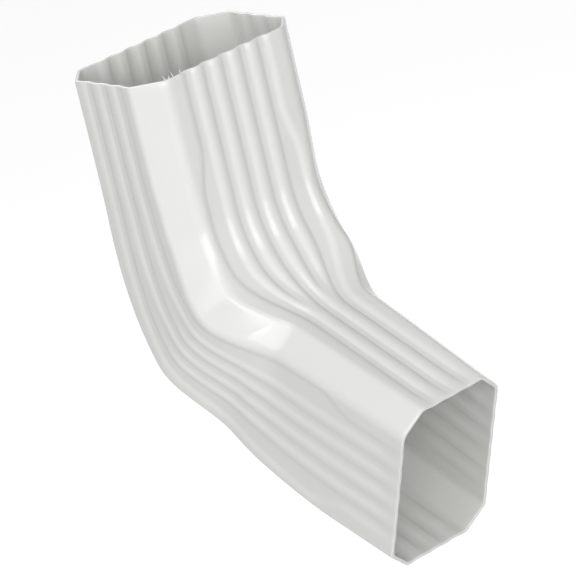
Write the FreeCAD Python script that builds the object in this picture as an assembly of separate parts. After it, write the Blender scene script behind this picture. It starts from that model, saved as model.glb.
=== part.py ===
import FreeCAD, Part
import math
import os

from FreeCAD import Vector

# Moulded vinyl downspout elbow, one piece, in millimetres.
# The origin is the centre of the inlet mouth. The inlet leg runs down -Z, and the outlet leg turns
# towards +X in the XZ plane, which is the mirror plane of the part. The duct is a rectangle with
# four chamfered corners: at the inlet its long side lies across the bend, at the outlet in its plane.

# Inlet mouth, outside
inlet_across = 80.0
inlet_in_plane = 54.6
inlet_chamfer_across = 9.7
inlet_chamfer_in_plane = 10.7

# Outlet mouth, outside, a spigot of nominal 2 by 3 inches
outlet_across = 50.4
outlet_in_plane = 76.4
outlet_chamfer_across = 9.3
outlet_chamfer_in_plane = 9.0

wall = 1.45

# Two straight legs and a bend, whose section planes all pass through one pivot line
turn = math.radians(66.6)
inner_radius = 47.3
inlet_leg = 57.8
outlet_leg = 66.1

# Travel is the length along the duct from the start of the bend, measured in the bend on this radius
travel_radius = 75.0

# The section deepens in the bend plane and narrows across it at these lengths of travel. The inner
# edges of the side walls narrow over a longer stretch than the outer edges.
deepen_start, deepen_end = -28.7, 119.8
outer_narrow_start, outer_narrow_end = 46.8, 73.6
inner_narrow_start, inner_narrow_end = 45.5, 87.6

# Past the change of section the outlet leg still tapers by this much to its rim
outlet_draft_across = 5.9
outlet_draft_in_plane = 0.7

# The side walls draw in a little above the bend, and the corners are cut wider in it
waist_draw, waist_middle, waist_reach = 1.3, 11.2, 36.3
inner_cut_growth, outer_cut_growth, cut_growth_middle, cut_growth_reach = 3.7, 1.5, 49.7, 38.8

# Rounding of the long edges: inner ones next to a wide side and next to a narrow side, and outer ones
wide_side_edge_radius = 7.0
narrow_side_edge_radius = 3.5
outer_edge_radius = 1.5

# Flutes fill five slots on each side, and the second and fourth run only where the side is wide
flute_pitch = 9.25
flute_width = 9.2
flute_floor = 1.6
flute_fillet = 1.0
face_flute_depth = 1.0
wall_flute_depth = 0.65
face_gather_start, face_gather_end = 36.0, 89.5
face_odd_fade_start, face_odd_fade_end = 50.0, 82.0
wall_spread_start, wall_spread_end = -22.0, 127.0
wall_odd_rise_start, wall_odd_rise_end = 22.0, 58.0

# The outermost flutes of a wide side open into flat troughs beside the bend
face_trough_width = 3.7
face_trough_open_start, face_trough_open_end = -28.0, -8.0
face_trough_close_start, face_trough_close_end = 25.0, 92.0
wall_trough_width = 5.8
wall_trough_open_start, wall_trough_open_end = 21.0, 110.0
wall_trough_close_start, wall_trough_close_end = 110.0, 127.0

# The flutes fade to this share of their depth at the outlet rim, over this length
flute_share_at_outlet = 0.3
flute_fade = 12.0

# How many facets a section has on each stretch, and how many sections each length of duct has
facets_per_slot = 6
facets_per_land = 4
facets_per_edge = 3
leg_rows, bend_rows, run_out_rows = 2, 24, 5
bend_rows_start, bend_rows_end = -31.0, 134.0


def mix(start_value, end_value, share):
    return start_value + (end_value - start_value) * share


def ease(travel, start, end):
    """Rise smoothly from 0 at start to 1 at end."""
    share = min(max((travel - start) / (end - start), 0.0), 1.0)
    return share * share * (3.0 - 2.0 * share)


def hump(travel, middle, reach):
    """Rise smoothly to 1 at middle, from 0 at reach on either side."""
    share = min(abs(travel - middle) / reach, 1.0)
    return 0.5 * (1.0 + math.cos(math.pi * share))


bend_length = turn * travel_radius
travel_start = -inlet_leg
travel_end = bend_length + outlet_leg


def drafted(travel, size, draft, start):
    """Size of the outlet leg, which tapers from start to its rim."""
    return size + draft * min((travel_end - travel) / (travel_end - start), 1.0)


def half_in_plane(travel):
    deep = drafted(travel, outlet_in_plane, outlet_draft_in_plane, deepen_end)
    return mix(inlet_in_plane, deep, ease(travel, deepen_start, deepen_end)) / 2


def half_across(travel, narrow_start, narrow_end):
    narrow = drafted(travel, outlet_across, outlet_draft_across, outer_narrow_end)
    width = mix(inlet_across, narrow, ease(travel, narrow_start, narrow_end))
    return width / 2 - waist_draw * hump(travel, waist_middle, waist_reach)


def section_place(travel):
    """Middle of the inner side, and the unit direction out through it."""
    angle = turn * min(max(travel / bend_length, 0.0), 1.0)
    outward = Vector(math.cos(angle), 0, math.sin(angle))
    pivot = Vector(inlet_in_plane / 2 + inner_radius, 0, -inlet_leg)
    above_bend = max(-travel, 0.0)
    past_bend = max(travel - bend_length, 0.0)
    down_outlet = Vector(math.sin(turn), 0, -math.cos(turn))
    middle = pivot - outward * inner_radius + Vector(0, 0, above_bend) + down_outlet * past_bend
    return middle, outward


def half_outline(travel):
    """Half of the section as pieces, each a start point, a start heading, a turn and a length.

    It runs from the middle of the inner side, round a side wall, to the middle of the outer side,
    in coordinates of depth, outward through the inner side, and breadth, across the bend plane.
    """
    depth = half_in_plane(travel)
    inner_breadth = half_across(travel, inner_narrow_start, inner_narrow_end)
    outer_breadth = half_across(travel, outer_narrow_start, outer_narrow_end)
    share = ease(travel, 0.0, bend_length)
    growth = hump(travel, cut_growth_middle, cut_growth_reach)
    cut_depth = mix(inlet_chamfer_in_plane, outlet_chamfer_in_plane, share)
    cut_breadth = mix(inlet_chamfer_across, outlet_chamfer_across, share)
    face_edge = mix(wide_side_edge_radius, narrow_side_edge_radius, share)
    wall_edge = mix(narrow_side_edge_radius, wide_side_edge_radius, share)
    outer_growth = outer_cut_growth * growth
    corners = [
        (depth, -inner_breadth + cut_breadth, face_edge),
        (depth - cut_depth - inner_cut_growth * growth, -inner_breadth, wall_edge),
        (-depth + cut_depth + outer_growth, -outer_breadth, outer_edge_radius),
        (-depth, -outer_breadth + cut_breadth + outer_growth, outer_edge_radius),
    ]
    stops = [(depth, 0.0, 0.0)] + corners + [(-depth, 0.0, 0.0)]
    headings = []
    for here, there in zip(stops, stops[1:]):
        heading = math.atan2(there[1] - here[1], there[0] - here[0])
        while headings and heading > headings[-1]:
            heading -= 2 * math.pi
        headings.append(heading)
    pieces = []
    start = stops[0][:2]
    for corner, heading, next_heading in zip(corners, headings, headings[1:]):
        bend = next_heading - heading
        setback = corner[2] * math.tan(-bend / 2)
        length = math.hypot(corner[0] - start[0], corner[1] - start[1]) - setback
        pieces.append((start, heading, 0.0, length))
        arc_start = (start[0] + length * math.cos(heading), start[1] + length * math.sin(heading))
        pieces.append((arc_start, heading, bend, corner[2] * -bend))
        start = (corner[0] + setback * math.cos(next_heading), corner[1] + setback * math.sin(next_heading))
    last = stops[-1]
    pieces.append((start, headings[-1], 0.0, math.hypot(last[0] - start[0], last[1] - start[1])))
    return pieces


def outline_point(pieces, distance):
    """Point and outward direction at a distance along the outline."""
    index = 0
    while index < len(pieces) - 1 and distance > pieces[index][3]:
        distance -= pieces[index][3]
        index += 1
    start, heading, bend, length = pieces[index]
    if bend == 0.0:
        x = start[0] + distance * math.cos(heading)
        y = start[1] + distance * math.sin(heading)
        return (x, y), (-math.sin(heading), math.cos(heading))
    radius = length / -bend
    here = heading + bend * distance / length
    x = start[0] + radius * (math.sin(heading) - math.sin(here))
    y = start[1] - radius * (math.cos(heading) - math.cos(here))
    return (x, y), (-math.sin(here), math.cos(here))


def flute_flank(distance):
    """Depth of one flute, from 1 at its floor, round a small fillet and up a broad crest to 0."""
    reach = (flute_width - flute_floor) / 2
    distance = min(max(distance, 0.0), reach)
    if distance < flute_fillet:
        return 1.0 - distance ** 2 / (reach * flute_fillet)
    return (reach - distance) ** 2 / (reach * (reach - flute_fillet))


def flute_form(distance, pitch, odd_strength, trough):
    """Depth of the flutes, from 0 to 1, at a distance from the middle of a side."""
    distance = abs(distance)
    left = 1.0
    for slot, strength in ((0, 1.0), (1, odd_strength), (2, 1.0)):
        half_floor = flute_floor / 2
        if slot == 2 and distance > slot * pitch:
            half_floor += trough
        left *= 1.0 - strength * flute_flank(abs(distance - slot * pitch) - half_floor)
    return 1.0 - left


def face_flutes(travel):
    """Pitch, strength of the odd flutes and trough width on the inner and outer sides."""
    pitch = mix(flute_pitch, flute_pitch / 2, ease(travel, face_gather_start, face_gather_end))
    odd = 1.0 - ease(travel, face_odd_fade_start, face_odd_fade_end)
    opened = ease(travel, face_trough_open_start, face_trough_open_end)
    closed = ease(travel, face_trough_close_start, face_trough_close_end)
    return pitch, odd, face_trough_width * opened * (1.0 - closed)


def wall_flutes(travel):
    """Pitch, strength of the odd flutes and trough width on the side walls."""
    pitch = mix(flute_pitch / 2, flute_pitch, ease(travel, wall_spread_start, wall_spread_end))
    odd = ease(travel, wall_odd_rise_start, wall_odd_rise_end)
    opened = ease(travel, wall_trough_open_start, wall_trough_open_end)
    closed = ease(travel, wall_trough_close_start, wall_trough_close_end)
    return pitch, odd, wall_trough_width * opened * (1.0 - closed)


def stepped(start, stops):
    """Values from start through each stop, in the number of equal steps given with it."""
    values = [start]
    for stop, steps in stops:
        low = values[-1]
        values += [mix(low, stop, (step + 1) / steps) for step in range(steps)]
    return values


def outline_distances(ends, wall_middle, face_pitch, wall_pitch):
    """Distances to sample along the outline, so that each column of points follows a flute."""
    total = ends[-1]
    stops = [(face_pitch, facets_per_slot), (2 * face_pitch, facets_per_slot),
             (ends[1], facets_per_land), (ends[2], facets_per_edge), (ends[3], 1),
             (ends[4], facets_per_edge), (wall_middle - 2 * wall_pitch, facets_per_land)]
    stops += [(wall_middle + slot * wall_pitch, facets_per_slot) for slot in (-1, 0, 1, 2)]
    stops += [(ends[5], facets_per_land), (ends[6], facets_per_edge), (ends[7], 1),
              (ends[8], facets_per_edge), (total - 2 * face_pitch, facets_per_land),
              (total - face_pitch, facets_per_slot), (total, facets_per_slot)]
    return stepped(0.0, stops)


def skin_row(travel, inset):
    """Points of one section of a skin, inset from the outside of the wall."""
    pieces = half_outline(travel)
    ends = [0.0]
    for piece in pieces:
        ends.append(ends[-1] + piece[3])
    total = ends[-1]
    wall_middle = ends[4] + pieces[4][0][0]
    face = face_flutes(travel)
    side = wall_flutes(travel)
    distances = outline_distances(ends, wall_middle, face[0], side[0])
    depth = half_in_plane(travel)
    middle, outward = section_place(travel)
    centre = middle - outward * depth
    fluting = mix(1.0, flute_share_at_outlet, ease(travel, travel_end - flute_fade, travel_end))
    row = []
    for distance in distances:
        (x, y), (normal_x, normal_y) = outline_point(pieces, distance)
        on_faces = flute_form(distance, *face) + flute_form(total - distance, *face)
        on_walls = flute_form(distance - wall_middle, *side)
        step_in = inset + fluting * (face_flute_depth * on_faces + wall_flute_depth * on_walls)
        point = centre + outward * (x - normal_x * step_in)
        point.y = y - normal_y * step_in
        row.append(point)
    return row


def mirrored(shape):
    return shape.mirror(Vector(0, 0, 0), Vector(0, 1, 0))


def skin(rows):
    """One skin of the duct: long facets between smooth edges, each through a point of every section."""
    edges = []
    for column in zip(*rows):
        curve = Part.BSplineCurve()
        curve.interpolate(Points=list(column), Parameters=section_travels)
        edges.append(curve.toShape())
    half = Part.Compound([Part.makeRuledSurface(near, far) for near, far in zip(edges, edges[1:])])
    return half.Faces + mirrored(half).Faces


def rim(plane, outer_row, inner_row):
    """Flat ring that joins the two skins at one end of the duct."""
    discs = []
    for row in (outer_row, inner_row):
        half = Part.makePolygon(row)
        discs.append(Part.Face(plane, Part.Wire(half.Edges + mirrored(half).Edges)))
    return discs[0].cut(discs[1]).Faces[0]


def elbow_shell():
    outer_rows = [skin_row(travel, 0.0) for travel in section_travels]
    inner_rows = [skin_row(travel, wall) for travel in section_travels]
    outlet_middle, outlet_outward = section_place(travel_end)
    inlet_plane = Part.Plane(Vector(0, 0, 0), Vector(0, 0, 1))
    outlet_plane = Part.Plane(outlet_middle, outlet_outward.cross(Vector(0, 1, 0)))
    faces = skin(outer_rows) + skin(inner_rows)
    faces.append(rim(inlet_plane, outer_rows[0], inner_rows[0]))
    faces.append(rim(outlet_plane, outer_rows[-1], inner_rows[-1]))
    sewn = Part.Compound(faces)
    sewn.sewShape()
    solid = Part.Solid(sewn.Shells[0])
    if solid.Volume < 0:
        solid.reverse()
    return solid


section_travels = stepped(travel_start, [(bend_rows_start, leg_rows), (bend_rows_end, bend_rows),
                                         (travel_end, run_out_rows)])
os.makedirs("parts", exist_ok=True)
elbow = elbow_shell()
print("valid", elbow.isValid(), "volume", round(elbow.Volume, 1), "faces", len(elbow.Faces))
elbow.exportStep("parts/elbow_shell.step")
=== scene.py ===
import math

import bmesh
import bpy
from mathutils import Matrix, Vector


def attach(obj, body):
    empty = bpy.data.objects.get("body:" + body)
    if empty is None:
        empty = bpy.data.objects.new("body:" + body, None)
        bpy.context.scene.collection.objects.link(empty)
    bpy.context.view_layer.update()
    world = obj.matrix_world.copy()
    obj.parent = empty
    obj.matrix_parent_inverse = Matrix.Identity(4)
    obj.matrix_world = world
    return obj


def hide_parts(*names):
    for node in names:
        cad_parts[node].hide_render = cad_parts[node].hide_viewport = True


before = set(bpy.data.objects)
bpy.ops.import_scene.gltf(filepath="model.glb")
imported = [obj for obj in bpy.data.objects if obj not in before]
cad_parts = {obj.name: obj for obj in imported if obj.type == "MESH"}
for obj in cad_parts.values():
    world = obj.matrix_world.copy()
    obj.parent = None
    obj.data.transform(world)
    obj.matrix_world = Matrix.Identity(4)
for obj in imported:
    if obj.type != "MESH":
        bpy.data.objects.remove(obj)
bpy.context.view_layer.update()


# The duct's section
# A rectangle of thin wall with four cut corners. At the inlet its long side lies across the bend,
# and at the outlet in the plane of the bend, so the wide sides become the narrow ones on the way.

inlet_across, inlet_in_plane = 0.0800, 0.0546
inlet_chamfer_across, inlet_chamfer_in_plane = 0.0097, 0.0107
outlet_across, outlet_in_plane = 0.0504, 0.0764
outlet_chamfer_across, outlet_chamfer_in_plane = 0.0093, 0.0090
wall = 0.00145

turn = math.radians(66.6)
inner_radius = 0.0473
inlet_leg = 0.0578
outlet_leg = 0.0661
travel_radius = 0.0750

# Travel along the duct counts from the start of the bend, is negative in the inlet leg, and runs
# at the travel radius round the bend
deepen_start, deepen_end = -0.0287, 0.1198
outer_narrow_start, outer_narrow_end = 0.0468, 0.0736
inner_narrow_start, inner_narrow_end = 0.0455, 0.0876
outlet_draft_across = 0.0059
outlet_draft_in_plane = 0.0007
waist_draw, waist_middle, waist_reach = 0.0013, 0.0112, 0.0363
inner_cut_growth, outer_cut_growth = 0.0037, 0.0015
cut_growth_middle, cut_growth_reach = 0.0497, 0.0388
wide_side_edge_radius = 0.0070
narrow_side_edge_radius = 0.0035
outer_edge_radius = 0.0015
inside_rounding = 0.0035

bend_length = turn * travel_radius
travel_start = -inlet_leg
travel_end = bend_length + outlet_leg


def mix(start_value, end_value, share):
    """Value at a share of the way from the start value to the end value."""
    return start_value + (end_value - start_value) * share


def ease(travel, start, end):
    """Rise smoothly from 0 at start to 1 at end."""
    share = min(max((travel - start) / (end - start), 0.0), 1.0)
    return share * share * (3.0 - 2.0 * share)


def hump(travel, middle, reach):
    """Rise smoothly to 1 at middle, from 0 at reach on either side."""
    share = min(abs(travel - middle) / reach, 1.0)
    return 0.5 * (1.0 + math.cos(math.pi * share))


def drafted(travel, size, draft, start):
    """Size of the outlet leg, which tapers from start to its rim."""
    return size + draft * min((travel_end - travel) / (travel_end - start), 1.0)


def half_in_plane(travel):
    """Half of the section's size in the plane of the bend."""
    deep = drafted(travel, outlet_in_plane, outlet_draft_in_plane, deepen_end)
    return mix(inlet_in_plane, deep, ease(travel, deepen_start, deepen_end)) / 2


def half_across(travel, narrow_start, narrow_end):
    """Half of the section's size across the bend, for a side that narrows from start to end."""
    narrow = drafted(travel, outlet_across, outlet_draft_across, outer_narrow_end)
    width = mix(inlet_across, narrow, ease(travel, narrow_start, narrow_end))
    return width / 2 - waist_draw * hump(travel, waist_middle, waist_reach)


def section_place(travel):
    """Middle of the inner side, and the unit direction out through it."""
    angle = turn * min(max(travel / bend_length, 0.0), 1.0)
    outward = Vector((math.cos(angle), 0, math.sin(angle)))
    pivot = Vector((inlet_in_plane / 2 + inner_radius, 0, -inlet_leg))
    above_bend = Vector((0, 0, max(-travel, 0.0)))
    past_bend = Vector((math.sin(turn), 0, -math.cos(turn))) * max(travel - bend_length, 0.0)
    return pivot - outward * inner_radius + above_bend + past_bend, outward


def half_outline(travel, inset):
    """Half of the section as pieces, each a start point, a start heading, a turn and a length."""
    depth = half_in_plane(travel)
    inner_breadth = half_across(travel, inner_narrow_start, inner_narrow_end)
    outer_breadth = half_across(travel, outer_narrow_start, outer_narrow_end)
    share = ease(travel, 0.0, bend_length)
    growth = hump(travel, cut_growth_middle, cut_growth_reach)
    cut_depth = mix(inlet_chamfer_in_plane, outlet_chamfer_in_plane, share)
    cut_breadth = mix(inlet_chamfer_across, outlet_chamfer_across, share)
    face_edge = mix(wide_side_edge_radius, narrow_side_edge_radius, share)
    wall_edge = mix(narrow_side_edge_radius, wide_side_edge_radius, share)
    back_edge = outer_edge_radius + inside_rounding * inset / wall
    outer_growth = outer_cut_growth * growth
    corners = [
        (depth, -inner_breadth + cut_breadth, face_edge),
        (depth - cut_depth - inner_cut_growth * growth, -inner_breadth, wall_edge),
        (-depth + cut_depth + outer_growth, -outer_breadth, back_edge),
        (-depth, -outer_breadth + cut_breadth + outer_growth, back_edge),
    ]
    stops = [(depth, 0.0, 0.0)] + corners + [(-depth, 0.0, 0.0)]
    headings = []
    for here, there in zip(stops, stops[1:]):
        heading = math.atan2(there[1] - here[1], there[0] - here[0])
        while headings and heading > headings[-1]:
            heading -= 2 * math.pi
        headings.append(heading)
    pieces = []
    start = stops[0][:2]
    for corner, heading, next_heading in zip(corners, headings, headings[1:]):
        bend = next_heading - heading
        setback = corner[2] * math.tan(-bend / 2)
        length = math.hypot(corner[0] - start[0], corner[1] - start[1]) - setback
        pieces.append((start, heading, 0.0, length))
        arc_start = (start[0] + length * math.cos(heading), start[1] + length * math.sin(heading))
        pieces.append((arc_start, heading, bend, corner[2] * -bend))
        start = (corner[0] + setback * math.cos(next_heading),
                 corner[1] + setback * math.sin(next_heading))
    last = stops[-1]
    pieces.append((start, headings[-1], 0.0, math.hypot(last[0] - start[0], last[1] - start[1])))
    return pieces


def outline_point(pieces, distance):
    """Point and outward direction at a distance along the outline."""
    index = 0
    while index < len(pieces) - 1 and distance > pieces[index][3]:
        distance -= pieces[index][3]
        index += 1
    start, heading, bend, length = pieces[index]
    if bend == 0.0:
        x = start[0] + distance * math.cos(heading)
        y = start[1] + distance * math.sin(heading)
        return (x, y), (-math.sin(heading), math.cos(heading))
    radius = length / -bend
    here = heading + bend * distance / length
    x = start[0] + radius * (math.sin(heading) - math.sin(here))
    y = start[1] - radius * (math.cos(heading) - math.cos(here))
    return (x, y), (-math.sin(here), math.cos(here))


# The flutes
# Shallow rounded channels that stiffen the wall, five on a wide side and three on a narrow one.
# They merge or part as each side changes width, and the outermost open into flat troughs beside
# the bend. At the outlet they fade, so that it slides into a pipe.

flute_pitch = 0.00925
flute_width = 0.0092
flute_floor = 0.0016
flute_fillet = 0.0010
face_flute_depth = 0.0010
wall_flute_depth = 0.00065
face_gather_start, face_gather_end = 0.036, 0.0895
face_odd_fade_start, face_odd_fade_end = 0.050, 0.082
wall_spread_start, wall_spread_end = -0.022, 0.127
wall_odd_rise_start, wall_odd_rise_end = 0.022, 0.058
face_trough_width = 0.0037
face_trough_open_start, face_trough_open_end = -0.028, -0.008
face_trough_close_start, face_trough_close_end = 0.025, 0.092
wall_trough_width = 0.0058
wall_trough_open_start, wall_trough_open_end = 0.021, 0.110
wall_trough_close_start, wall_trough_close_end = 0.110, 0.127
flute_share_at_outlet = 0.3
flute_fade = 0.012


def flute_flank(distance):
    """Depth of one flute, from 1 at its floor, round a small fillet and up a broad crest to 0."""
    reach = (flute_width - flute_floor) / 2
    distance = min(max(distance, 0.0), reach)
    if distance < flute_fillet:
        return 1.0 - distance ** 2 / (reach * flute_fillet)
    return (reach - distance) ** 2 / (reach * (reach - flute_fillet))


def flute_form(distance, pitch, odd_strength, trough):
    """Depth of the flutes, from 0 to 1, at a distance from the middle of a side."""
    distance = abs(distance)
    left = 1.0
    for slot, strength in ((0, 1.0), (1, odd_strength), (2, 1.0)):
        half_floor = flute_floor / 2
        if slot == 2 and distance > slot * pitch:
            half_floor += trough
        left *= 1.0 - strength * flute_flank(abs(distance - slot * pitch) - half_floor)
    return 1.0 - left


def face_flutes(travel):
    """Pitch, strength of the odd flutes and trough width on the inner and outer sides."""
    pitch = mix(flute_pitch, flute_pitch / 2, ease(travel, face_gather_start, face_gather_end))
    odd = 1.0 - ease(travel, face_odd_fade_start, face_odd_fade_end)
    opened = ease(travel, face_trough_open_start, face_trough_open_end)
    closed = ease(travel, face_trough_close_start, face_trough_close_end)
    return pitch, odd, face_trough_width * opened * (1.0 - closed)


def wall_flutes(travel):
    """Pitch, strength of the odd flutes and trough width on the side walls."""
    pitch = mix(flute_pitch / 2, flute_pitch, ease(travel, wall_spread_start, wall_spread_end))
    odd = ease(travel, wall_odd_rise_start, wall_odd_rise_end)
    opened = ease(travel, wall_trough_open_start, wall_trough_open_end)
    closed = ease(travel, wall_trough_close_start, wall_trough_close_end)
    return pitch, odd, wall_trough_width * opened * (1.0 - closed)


# The moulded shell
# One wall of white vinyl, trimmed square at both rims. One half is a flat grid wrapped over the
# outer skin, round the outlet rim, back along the inner skin and round the inlet rim. The other
# half is its mirror image.

steps_per_slot = 13
steps_per_land = 10
steps_per_edge = 8
steps_per_chamfer = 3
inlet_leg_steps, bend_steps, outlet_steps = 12, 92, 22
inner_inlet_leg_steps, inner_bend_steps, inner_outlet_steps = 9, 66, 14
bend_steps_start, bend_steps_end = -0.031, 0.134
rim_round = 0.0004
rim_round_steps = 3
rim_flat_steps = 2
weld_distance = 0.000002


def stepped(start, stops):
    """Values from start through each stop, in the number of equal steps given with it."""
    values = [start]
    for stop, steps in stops:
        low = values[-1]
        values += [mix(low, stop, (step + 1) / steps) for step in range(steps)]
    return values


def outline_distances(ends, wall_middle, face_pitch, wall_pitch):
    """Distances to place points along the outline, so that each line of them follows a flute."""
    total = ends[-1]
    stops = [(face_pitch, steps_per_slot), (2 * face_pitch, steps_per_slot),
             (ends[1], steps_per_land), (ends[2], steps_per_edge), (ends[3], steps_per_chamfer),
             (ends[4], steps_per_edge), (wall_middle - 2 * wall_pitch, steps_per_land)]
    stops += [(wall_middle + slot * wall_pitch, steps_per_slot) for slot in (-1, 0, 1, 2)]
    stops += [(ends[5], steps_per_land), (ends[6], steps_per_edge), (ends[7], steps_per_chamfer),
              (ends[8], steps_per_edge), (total - 2 * face_pitch, steps_per_land),
              (total - face_pitch, steps_per_slot), (total, steps_per_slot)]
    return stepped(0.0, stops)


def skin_row(travel, inset):
    """Points of half a section, inset from the outside of the wall."""
    pieces = half_outline(travel, inset)
    ends = [0.0]
    for piece in pieces:
        ends.append(ends[-1] + piece[3])
    total = ends[-1]
    # The side wall is the fifth piece, and starts as far from its middle as its x says
    wall_middle = ends[4] + pieces[4][0][0]
    face = face_flutes(travel)
    side = wall_flutes(travel)
    middle, outward = section_place(travel)
    centre = middle - outward * half_in_plane(travel)
    fluting = mix(1.0, flute_share_at_outlet, ease(travel, travel_end - flute_fade, travel_end))
    row = []
    for distance in outline_distances(ends, wall_middle, face[0], side[0]):
        (x, y), (normal_x, normal_y) = outline_point(pieces, distance)
        on_faces = flute_form(distance, *face) + flute_form(total - distance, *face)
        on_walls = flute_form(distance - wall_middle, *side)
        step_in = inset + fluting * (face_flute_depth * on_faces + wall_flute_depth * on_walls)
        point = centre + outward * (x - normal_x * step_in)
        point.y = y - normal_y * step_in
        row.append(point)
    return row


def rim_profile(rim_travel, into_duct):
    """Travel and inset of each row round a rim, from the outer skin to the inner one."""
    profile = []
    for step in range(rim_round_steps + 1):
        angle = math.pi / 2 * step / rim_round_steps
        back = rim_round * (1.0 - math.sin(angle))
        profile.append((rim_travel + into_duct * back, rim_round * (1.0 - math.cos(angle))))
    for step in range(1, rim_flat_steps):
        profile.append((rim_travel, mix(rim_round, wall - rim_round, step / rim_flat_steps)))
    rounding = profile[:rim_round_steps + 1]
    return profile + [(travel, wall - inset) for travel, inset in reversed(rounding)]


inlet_rim = rim_profile(travel_start, 1.0)
outlet_rim = rim_profile(travel_end, -1.0)
outer_travels = stepped(travel_start + rim_round, [
    (bend_steps_start, inlet_leg_steps),
    (bend_steps_end, bend_steps),
    (travel_end - rim_round, outlet_steps),
])
inner_travels = stepped(travel_start + rim_round, [
    (bend_steps_start, inner_inlet_leg_steps),
    (bend_steps_end, inner_bend_steps),
    (travel_end - rim_round, inner_outlet_steps),
])
wrap = [(travel, 0.0) for travel in outer_travels]
wrap += outlet_rim[1:-1]
wrap += [(travel, wall) for travel in reversed(inner_travels)]
wrap += reversed(inlet_rim[:-1])
shell_rows = [skin_row(travel, inset) for travel, inset in wrap]

shell_mesh = bmesh.new()
across_steps, wrap_steps = len(shell_rows[0]) - 1, len(shell_rows) - 1
bmesh.ops.create_grid(shell_mesh, x_segments=across_steps, y_segments=wrap_steps, size=0.5)
# The grid is one metre square, so where a vertex lies in it tells which row and point it takes
for vertex in shell_mesh.verts:
    across = round((vertex.co.x + 0.5) * across_steps)
    along = round((vertex.co.y + 0.5) * wrap_steps)
    vertex.co = shell_rows[along][across]
half = shell_mesh.verts[:] + shell_mesh.edges[:] + shell_mesh.faces[:]
bmesh.ops.mirror(shell_mesh, geom=half, matrix=Matrix(), axis="Y")
bmesh.ops.remove_doubles(shell_mesh, verts=shell_mesh.verts, dist=weld_distance)
bmesh.ops.recalc_face_normals(shell_mesh, faces=shell_mesh.faces)
for face in shell_mesh.faces:
    face.smooth = True

elbow_data = bpy.data.meshes.new("vinyl_elbow")
shell_mesh.to_mesh(elbow_data)
shell_mesh.free()
elbow = bpy.data.objects.new("vinyl_elbow", elbow_data)
bpy.context.scene.collection.objects.link(elbow)

# White vinyl, a shade creamier in places, with the faint ripples and uneven gloss that a mould
# leaves. Each noise has its scale in features per metre and its detail, and a ripple its height.
vinyl_white = (0.785, 0.787, 0.768, 1.0)
vinyl_cream = (0.767, 0.769, 0.744, 1.0)
vinyl_ior = 1.53
tint_scale, tint_detail = 18.0, 3.0
gloss_scale, gloss_detail = 60.0, 4.0
gloss_noise_low, gloss_noise_high = 0.35, 0.65
glossiest, dullest = 0.11, 0.18
ripples = ((70.0, 1.0, 0.00006), (650.0, 2.0, 0.000006))

vinyl = bpy.data.materials.new("white_vinyl")
vinyl.use_nodes = True
nodes, links = vinyl.node_tree.nodes, vinyl.node_tree.links
shader = nodes["Principled BSDF"]
shader.inputs["IOR"].default_value = vinyl_ior
object_place = nodes.new("ShaderNodeTexCoord").outputs["Object"]


def vinyl_noise(scale, detail):
    """Noise through the vinyl, from 0 to 1."""
    noise = nodes.new("ShaderNodeTexNoise")
    noise.inputs["Scale"].default_value = scale
    noise.inputs["Detail"].default_value = detail
    links.new(object_place, noise.inputs["Vector"])
    return noise.outputs["Fac"]


tint = nodes.new("ShaderNodeMix")
tint.data_type = "RGBA"
tint.inputs["A"].default_value = vinyl_white
tint.inputs["B"].default_value = vinyl_cream
links.new(vinyl_noise(tint_scale, tint_detail), tint.inputs["Factor"])
links.new(tint.outputs["Result"], shader.inputs["Base Color"])

gloss = nodes.new("ShaderNodeMapRange")
gloss.inputs["From Min"].default_value = gloss_noise_low
gloss.inputs["From Max"].default_value = gloss_noise_high
gloss.inputs["To Min"].default_value = glossiest
gloss.inputs["To Max"].default_value = dullest
links.new(vinyl_noise(gloss_scale, gloss_detail), gloss.inputs["Value"])
links.new(gloss.outputs["Result"], shader.inputs["Roughness"])

surface = None
for ripple_scale, ripple_detail, ripple_height in ripples:
    ripple = nodes.new("ShaderNodeBump")
    ripple.inputs["Distance"].default_value = ripple_height
    links.new(vinyl_noise(ripple_scale, ripple_detail), ripple.inputs["Height"])
    if surface:
        links.new(surface, ripple.inputs["Normal"])
    surface = ripple.outputs["Normal"]
links.new(surface, shader.inputs["Normal"])
elbow_data.materials.append(vinyl)

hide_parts("elbow_shell")
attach(elbow, "root")


# The trim burrs
# Thin curls of vinyl that trimming left standing on the inside edge of the inlet rim, beside a
# cut corner. Each has its place on the rim, its lean, its length and its radius at the foot.

burr_root = 0.35
burr_sides = 8
burr_tip_share = 1 / 3
burrs = [
    (Vector((0.0259, -0.0292, 0)), (-0.5, 0.0, 1.0), 0.0026, 0.00030),
    (Vector((0.0258, -0.0272, 0)), (-0.2, 0.4, 1.0), 0.0017, 0.00036),
    (Vector((0.0258, -0.0251, 0)), (-0.4, -0.1, 1.0), 0.0030, 0.00030),
    (Vector((0.0254, -0.0212, 0)), (-0.3, 0.3, 1.0), 0.0019, 0.00032),
]
burr_mesh = bmesh.new()
for rim_place, lean, length, foot_radius in burrs:
    tilt = Vector(lean).to_track_quat("Z", "Y").to_matrix().to_4x4()
    rooted = Matrix.Translation((0, 0, length * (0.5 - burr_root)))
    bmesh.ops.create_cone(burr_mesh, cap_ends=True, segments=burr_sides, radius1=foot_radius,
                          radius2=foot_radius * burr_tip_share, depth=length,
                          matrix=Matrix.Translation(rim_place) @ tilt @ rooted)
for face in burr_mesh.faces:
    face.smooth = True
burr_data = bpy.data.meshes.new("trim_burrs")
burr_mesh.to_mesh(burr_data)
burr_mesh.free()
burr_data.materials.append(vinyl)
trim_burrs = bpy.data.objects.new("trim_burrs", burr_data)
bpy.context.scene.collection.objects.link(trim_burrs)
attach(trim_burrs, "root")


# The studio
# The elbow hangs over a pale floor between soft lamps in front, to the right, to the left and
# behind, with a weaker one above. The camera stands where the photograph's did, turned about its
# own axis.

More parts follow.
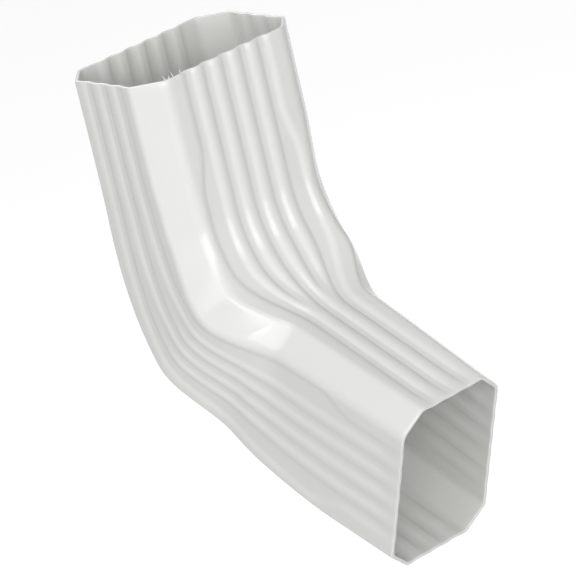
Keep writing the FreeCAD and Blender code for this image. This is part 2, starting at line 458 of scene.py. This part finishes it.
studio_white = (1.0, 1.0, 1.0, 1.0)
floor_drop = 0.9
floor_reach = 12.0
floor_grey = (0.45, 0.45, 0.45, 1.0)
floor_roughness = 0.9
floor_glow_strength = 0.8
surround_strength = 0.23

floor_mesh = bmesh.new()
bmesh.ops.create_grid(floor_mesh, x_segments=1, y_segments=1, size=floor_reach)
floor_data = bpy.data.meshes.new("studio_floor")
floor_mesh.to_mesh(floor_data)
floor_mesh.free()
floor = bpy.data.objects.new("studio_floor", floor_data)
floor.location.z = -floor_drop
bpy.context.scene.collection.objects.link(floor)


def seen_directly(tree):
    """Mask that is 1 for rays from the lens, a reflection or glass, and 0 for lighting rays."""
    path = tree.nodes.new("ShaderNodeLightPath")
    mask = path.outputs["Is Camera Ray"]
    for output in ("Is Glossy Ray", "Is Transmission Ray"):
        either = tree.nodes.new("ShaderNodeMath")
        either.operation = "MAXIMUM"
        tree.links.new(mask, either.inputs[0])
        tree.links.new(path.outputs[output], either.inputs[1])
        mask = either.outputs["Value"]
    return mask


# The floor takes the elbow's shadow. A glow that lights nothing lifts it to white where it is seen.
floor_paint = bpy.data.materials.new("floor_paint")
floor_paint.use_nodes = True
floor_nodes, floor_links = floor_paint.node_tree.nodes, floor_paint.node_tree.links
floor_shader = floor_nodes["Principled BSDF"]
floor_shader.inputs["Base Color"].default_value = floor_grey
floor_shader.inputs["Roughness"].default_value = floor_roughness
floor_shader.inputs["Emission Color"].default_value = studio_white
floor_glow = floor_nodes.new("ShaderNodeMath")
floor_glow.operation = "MULTIPLY"
floor_glow.inputs[1].default_value = floor_glow_strength
floor_links.new(seen_directly(floor_paint.node_tree), floor_glow.inputs[0])
floor_links.new(floor_glow.outputs["Value"], floor_shader.inputs["Emission Strength"])
floor_data.materials.append(floor_paint)

world = bpy.data.worlds.new("studio_surround")
bpy.context.scene.world = world
world.use_nodes = True
surround = world.node_tree
surround_light = surround.nodes["Background"]
surround_light.inputs["Color"].default_value = studio_white
surround_light.inputs["Strength"].default_value = surround_strength
surround_white = surround.nodes.new("ShaderNodeBackground")
surround_white.inputs["Color"].default_value = studio_white
surround_choice = surround.nodes.new("ShaderNodeMixShader")
surround.links.new(seen_directly(surround), surround_choice.inputs[0])
surround.links.new(surround_light.outputs[0], surround_choice.inputs[1])
surround.links.new(surround_white.outputs[0], surround_choice.inputs[2])
surround.links.new(surround_choice.outputs[0], surround.nodes["World Output"].inputs["Surface"])


def look(place, target, roll):
    """Stand at place, face target, and turn by roll about the line of sight."""
    facing = (Vector(target) - Vector(place)).to_track_quat("-Z", "Y").to_matrix().to_4x4()
    return Matrix.Translation(Vector(place)) @ facing @ Matrix.Rotation(roll, 4, "Z")


# Each lamp has its direction from the elbow's middle, its distance, its size and its power in watts
elbow_middle = (0.043, 0.0, -0.099)
softboxes = {
    "front_softbox": ((0.77, -0.60, 0.18), 2.6, (1.8, 1.8), 27.0),
    "right_softbox": ((0.96, -0.22, 0.09), 2.0, (1.1, 1.1), 10.0),
    "right_strip": ((0.96, 0.00, 0.28), 2.0, (0.10, 0.45), 1.2),
    "left_softbox": ((0.16, -0.83, 0.52), 2.0, (1.3, 1.3), 10.5),
    "left_window": ((0.46, -0.82, 0.33), 2.0, (0.12, 0.16), 0.45),
    "top_softbox": ((0.30, -0.22, 0.93), 2.0, (0.8, 0.8), 4.0),
    "back_softbox": ((-0.72, 0.22, 0.66), 2.2, (1.4, 1.4), 18.0),
}
for name, (direction, distance, size, power) in softboxes.items():
    lamp_data = bpy.data.lights.new(name, "AREA")
    lamp_data.shape = "RECTANGLE"
    lamp_data.size, lamp_data.size_y = size
    lamp_data.energy = power
    lamp = bpy.data.objects.new(name, lamp_data)
    lamp_place = Vector(elbow_middle) + Vector(direction).normalized() * distance
    lamp.matrix_world = look(lamp_place, elbow_middle, 0.0)
    bpy.context.scene.collection.objects.link(lamp)

camera_place = (1.23167, -0.89307, 0.42317)
camera_target = (0.03765, -0.00450, -0.09325)
camera_roll = math.radians(-13.383)
camera_lens = 257.1
film_width = 36.0

camera_data = bpy.data.cameras.new("camera")
camera_data.lens = camera_lens
camera_data.sensor_width = film_width
camera = bpy.data.objects.new("camera", camera_data)
camera.matrix_world = look(camera_place, camera_target, camera_roll)
bpy.context.scene.collection.objects.link(camera)
bpy.context.scene.camera = camera

bpy.context.scene.view_settings.view_transform = "Standard"
